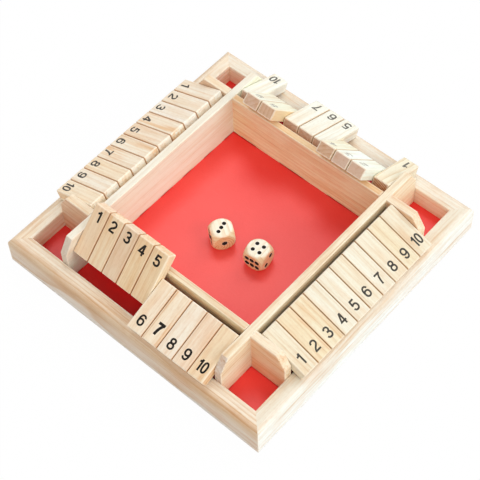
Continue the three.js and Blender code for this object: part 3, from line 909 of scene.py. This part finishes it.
six = [
    arc(0.29, 0.335, 0.205, 0.258, 0, 360),
    arc(0.29, 0.50, 0.21, 0.424, 90, 262),
    sweep((0.485, 0.735), (0.46, 0.87), (0.39, 0.924), (0.285, 0.924)),
]
PEN = {
    "0": [arc(0.28, 0.5, 0.205, 0.424, 0, 360)],
    "1": [
        [(0.33, 0.0), (0.33, 1.0)],
        sweep((0.08, 0.755), (0.21, 0.76), (0.29, 0.83), (0.315, 0.98)),
    ],
    "2": [
        arc(0.28, 0.69, 0.2, 0.234, 176, -20)
        + sweep((0.455, 0.58), (0.38, 0.42), (0.10, 0.34), (0.085, 0.076)),
        [(0.01, 0.076), (0.515, 0.076)],
    ],
    "3": [
        arc(0.27, 0.724, 0.178, 0.2, 168, -80) + [(0.2, 0.525)],
        [(0.2, 0.525)] + arc(0.27, 0.298, 0.212, 0.222, 80, -170),
    ],
    "4": [[(0.36, 0.965), (0.085, 0.292), (0.55, 0.292)], [(0.395, 0.0), (0.395, 1.0)]],
    "5": [
        [(0.485, 0.924), (0.15, 0.924), (0.105, 0.48)],
        sweep((0.10, 0.475), (0.15, 0.555), (0.21, 0.59), (0.285, 0.59))
        + arc(0.28, 0.333, 0.208, 0.257, 84, -168),
    ],
    "6": six,
    "7": [
        [(0.035, 0.924), (0.555, 0.924)],
        sweep((0.475, 0.925), (0.33, 0.76), (0.22, 0.42), (0.205, 0.0)),
    ],
    "8": [arc(0.28, 0.737, 0.172, 0.187, 0, 360), arc(0.28, 0.305, 0.208, 0.229, 0, 360)],
    "9": [[(0.56 - x, 1 - y) for x, y in stroke] for stroke in six],
}
print("pen strokes:", {digit: len(strokes) for digit, strokes in PEN.items()})

# %% Ribbons, and both faces of each tile
DIGIT_HEIGHT = 8.1 * MM
INK_LAYER = 0.004 * MM           # a second stroke lies over the first one


def ribbon(stroke, width):
    """The two edges of a pen stroke, as pairs of points."""
    line = np.array(stroke)
    lengths = np.linalg.norm(np.diff(line, axis=0), axis=1)
    line = line[np.append(True, lengths > 1e-4)]
    steps = unit(np.diff(line, axis=0))
    closed = np.linalg.norm(line[0] - line[-1]) < 1e-3
    before = np.vstack((steps[-1:] if closed else steps[:1], steps))
    after = np.vstack((steps, steps[:1] if closed else steps[-1:]))
    middle = unit(before + after)
    spread = width / 2 / np.clip((middle * before).sum(1), 0.55, 1)
    off = np.stack((-middle[:, 1], middle[:, 0]), axis=1) * spread[:, None]
    return line + off, line - off


def digit_shape(number, from_tip, drift, size, pen):
    """Both printed numbers of a tile, in the tile's own axes."""
    text = str(number)
    squeeze = 0.92 if len(text) > 1 else 1.16
    advance = 0.52 * squeeze
    full = advance * (len(text) - 1) + 0.56 * squeeze
    points, faces = [], []
    for face_up, toward in ((1, -1), (-1, 1)):
        for place, digit in enumerate(text):
            for layer, stroke in enumerate(PEN[digit]):
                lefts, rights = ribbon([(u * squeeze, v) for u, v in stroke], pen)
                height = face_up * (TILE_THICKNESS / 2 + HAIR + layer * INK_LAYER)
                for quad in zip(lefts[:-1], lefts[1:], rights[1:], rights[:-1]):
                    faces.append(range(len(points), len(points) + 4))
                    for u, v in quad:
                        across = (u + place * advance - full / 2) * size + drift
                        along = TILE_TIP - from_tip + toward * (v - 0.5) * size
                        points.append((along, across, height))
    return np.array(points), faces, None


# The width of the pen, how far the digits are from the tip, and how much paler the ink is drawn.
PRINTS = {
    "front": (0.167, 8.6 * MM, 0.0),
    "right": (0.156, 9.3 * MM, 0.08),
    "back": (0.165, 7.4 * MM, 0.26),
    "left": (0.160, 6.6 * MM, 0.12),
}
# The ink on the flipped back tiles is painted pale, as a glare.
SHUT_BACK_GLARE = 0.80
INKED_TWICE = ("front", 7)
for side, (row_pen, row_gap, row_paling) in PRINTS.items():
    for number in range(1, TILES + 1):
        shut = number in SHUT[side]
        chance = np.random.default_rng(number + 40 * SIDES.index(side))
        from_tip = row_gap + chance.uniform(-0.5, 0.5) * MM
        drift = chance.uniform(-0.35, 0.35) * MM
        size, pen = DIGIT_HEIGHT, row_pen
        # A flipped front tile is printed heavier and nearer its tip, the bold 7 farther in.
        if side == "front" and shut:
            from_tip, pen = from_tip - 1.4 * MM, pen * 1.08
        if (side, number) == INKED_TWICE:
            from_tip, size, pen = from_tip + 1.9 * MM, size * 1.08, 0.225
        shape = digit_shape(number, from_tip, drift, size, pen)
        ink_paling = SHUT_BACK_GLARE if side == "back" and shut else row_paling
        at = tile_matrix(side, number)
        digit = wooden(f"print_{side}_{number}", shape, printed_ink, at, figure=ink_paling)
        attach(digit, f"tile_{side}_{number}")
print("printed tiles:", 4 * TILES)

# %% [markdown]
# ## Dice
#
# Wooden dice are tumbled until every corner is part of a ball and a round flat is left of each
# face, like a cube whose far points are pulled in to a ball. The spots are bored with a
# ball-nosed cutter, here a Boolean, which leaves its paint in each hollow.

# %% Build the dice
DIE_FLAT = 7.2 * MM              # radius of the flat that is left of a face
BALL = math.hypot(DIE_SIDE / 2, DIE_FLAT)
SPOT_RADIUS, SIDE_SPOT_RADIUS, LONE_SPOT_RADIUS = 1.45 * MM, 1.85 * MM, 2 * MM
CUTTER_LIFT = 0.45 * MM          # how far over the face the cutter's ball has its middle
NEAR, FAR = 0.168, 0.25
diagonal = [(-NEAR, -NEAR), (NEAR, NEAR)]
corners = diagonal + [(-NEAR, NEAR), (NEAR, -NEAR)]
SPOTS = {
    1: [(0, 0)], 2: diagonal, 3: [(0, 0)] + diagonal, 4: corners, 5: [(0, 0)] + corners,
    6: [(across, rise) for across in (-FAR, 0, FAR) for rise in (-NEAR, NEAR)],
}
FACES = {
    "top": ((0, 0, 1), (1, 0, 0)), "bottom": ((0, 0, -1), (1, 0, 0)),
    "front": ((0, -1, 0), (1, 0, 0)), "back": ((0, 1, 0), (-1, 0, 0)),
    "right": ((1, 0, 0), (0, 1, 0)), "left": ((-1, 0, 0), (0, -1, 0)),
}


def directions(face):
    """Outward, rightward and upward on one face of a die."""
    outward, rightward = (Vector(way) for way in FACES[face])
    return outward, rightward, outward.cross(rightward)


def die_shape(cells=22):
    """A cube of square cells, drawn in to the ball, with the flat faces kept flat."""
    points, faces = [], []
    lines = np.linspace(-1, 1, cells + 1) * DIE_SIDE / 2
    for face in FACES:
        outward, rightward, upward = directions(face)
        start = len(points)
        square = [outward * DIE_SIDE / 2 + rightward * u + upward * v for v in lines for u in lines]
        points += [point * min(1, BALL / point.length) for point in square]
        for a in (start + row * (cells + 1) + i for row in range(cells) for i in range(cells)):
            faces.append((a, a + 1, a + cells + 2, a + cells + 1))
    return np.array(points), faces, None


def spot_cutter(values, rows=10, around=20):
    """One ball a spot, with its middle just over the face."""
    cutter = bpy.data.meshes.new("spot_cutter")
    points, faces = [], []
    for face, value in zip(FACES, values):
        outward, rightward, upward = directions(face)
        wide = SPOT_RADIUS if face in ("top", "bottom") else SIDE_SPOT_RADIUS
        ball = math.hypot(LONE_SPOT_RADIUS if value == 1 else wide, CUTTER_LIFT)
        for across, rise in SPOTS[value]:
            middle = outward * (DIE_SIDE / 2 + CUTTER_LIFT)
            middle = middle + rightward * across * DIE_SIDE + upward * rise * DIE_SIDE
            start = len(points)
            for row in range(rows + 1):
                polar = math.pi * row / rows
                for step in range(around):
                    t = 2 * math.pi * step / around
                    level = rightward * math.cos(t) + upward * math.sin(t)
                    spoke = outward * math.cos(polar) + level * math.sin(polar)
                    points.append(tuple(middle + ball * spoke))
            faces += joined(start, around, rows + 1)
    cutter.from_pydata(points, [], faces)
    return cutter


def welded(mesh):
    """Joins points that lie on each other and makes every face point outwards."""
    work = bmesh.new()
    work.from_mesh(mesh)
    bmesh.ops.remove_doubles(work, verts=work.verts, dist=0.001 * MM)
    bmesh.ops.recalc_face_normals(work, faces=work.faces)
    work.to_mesh(mesh)
    work.free()


# The values on the top, bottom, front, back, right and left, the place, and the turn.
THROWN = {
    "die_1": ((3, 4, 1, 6, 2, 5), (-0.126, -0.17), 56.8),
    "die_2": ((4, 3, 6, 1, 2, 5), (0.333, -0.115), 6.3),
}
# Painted light on the dice: the top paler where light falls, the sides darker and warmer in shade.
DIE_LIT_TOP, DIE_SHADED_SIDES = np.array((1.08, 1.24, 1.34)), np.array((0.97, 0.96, 0.80))
TOP_BAND = 1.1 * MM              # the pale tone of the top ends this far below it
DIE_HEART = (0.4 * MM, 1.2 * MM)
for name, (values, (across, deep), turned) in THROWN.items():
    height = FLOOR_TOP + DIE_SIDE / 2 + HAIR
    at = Matrix.Translation((across * TRAY_HALF_WIDTH, deep * TRAY_HALF_DEPTH, height))
    at = at @ Matrix.Rotation(math.radians(turned), 4, "Z")
    shape = die_shape()
    low = np.clip((DIE_SIDE / 2 - shape[0][:, 2:]) / TOP_BAND, 0, 1)
    tone = DIE_LIT_TOP * (1 - low) + DIE_SHADED_SIDES * low
    die = wooden(f"dice_block_{name[-1]}", shape, die_wood, at, tone, "y", DIE_HEART, 1.5)
    tool = linked("spot_tool", spot_cutter(values), at)
    for thing in (die, tool):
        welded(thing.data)
        thing.data.materials.append(spot_paint)
    bore = die.modifiers.new("spots", "BOOLEAN")
    bore.operation, bore.solver = "DIFFERENCE", "EXACT"
    bore.object, bore.material_mode = tool, "TRANSFER"
    bpy.context.view_layer.update()
    result = die.evaluated_get(bpy.context.evaluated_depsgraph_get())
    bored = bpy.data.meshes.new_from_object(result)
    die.modifiers.clear()
    die.data = bored
    bpy.data.objects.remove(tool)
    die.modifiers.new("true_flats", "WEIGHTED_NORMAL").keep_sharp = True
    settle(die, name, name)
    print(name, "faces:", len(bored.polygons))

# %% [markdown]
# ## Light and table
#
# The photograph has two big soft lights on the far side, one to the right and one behind, a
# smaller one high up that casts the short shadows of the dice, a weak warm one in front, a
# bright room all round and a pure white table. The strengths were solved for the brightness
# of tops, sides and hollows. The table sends the camera plain white and a little of what
# falls on it, which leaves a faint shadow.

# %% Light, world and table
# Toward the light, its strength, its width in degrees and its colour.
LIGHTS = {
    "key_right": ((0.85, 0.15, 0.50), 0.325, 38, (1, 1, 1)),
    "key_behind": ((0.12, 0.80, 0.58), 0.20, 38, (1, 1, 1)),
    "key_high": ((-0.30, 0.36, 0.88), 0.18, 20, (1, 1, 1)),
    "front_fill": ((0.35, -0.60, 0.72), 0.19, 38, (1, 0.94, 0.87)),
}
for name, (toward, strength, degrees, color) in LIGHTS.items():
    sun = bpy.data.lights.new(name, "SUN")
    sun.energy, sun.angle = math.pi * strength, math.radians(degrees)
    sun.color = color
    linked(name, sun, Vector(toward).to_track_quat("Z", "Y").to_matrix().to_4x4())

room = Finish("bright_room", "worlds")
lit = room.add("Background", {}, {"Color": (0.97, 1.0, 1.03, 1), "Strength": 0.57})
white = room.add("Background", {}, {"Strength": 1.0})
seen = room.add("LightPath", output="Is Camera Ray")
room.add("OutputWorld", {}, {"Surface": room.add("MixShader", {}, {0: seen, 1: lit, 2: white})})
scene.world = room.owner


def table_finish():
    table = Finish("white_table")
    seen = table.add("LightPath", output="Is Camera Ray")
    grain = table.noise(table.add("TexCoord", output="Object"), (300, 300, 300))
    bump = table.bump(grain, 0.02 * MM, 0.1)
    lit = table.add("BsdfDiffuse", {}, {"Color": (0.86, 0.855, 0.85, 1), "Normal": bump})
    glow = table.add("Emission", {}, {"Color": (1, 1, 1, 1), "Strength": 1.0})
    both = table.add("MixShader", {}, {0: seen * 0.98, 1: lit, 2: glow})
    table.add("OutputMaterial", {}, {"Surface": both})
    return table.owner


TABLE_HALF = 3
TABLE_DROP = 0.05 * MM
square = np.array(((-1, -1, 0), (1, -1, 0), (1, 1, 0), (-1, 1, 0)))
table_mesh = bpy.data.meshes.new("table")
table_mesh.from_pydata((square * TABLE_HALF).tolist(), [], [(0, 1, 2, 3)])
table_mesh.materials.append(table_finish())
table_top = linked("table", table_mesh, Matrix.Translation((0, 0, -TABLE_DROP)))
print("lights:", len(LIGHTS), "room:", room.owner.name)
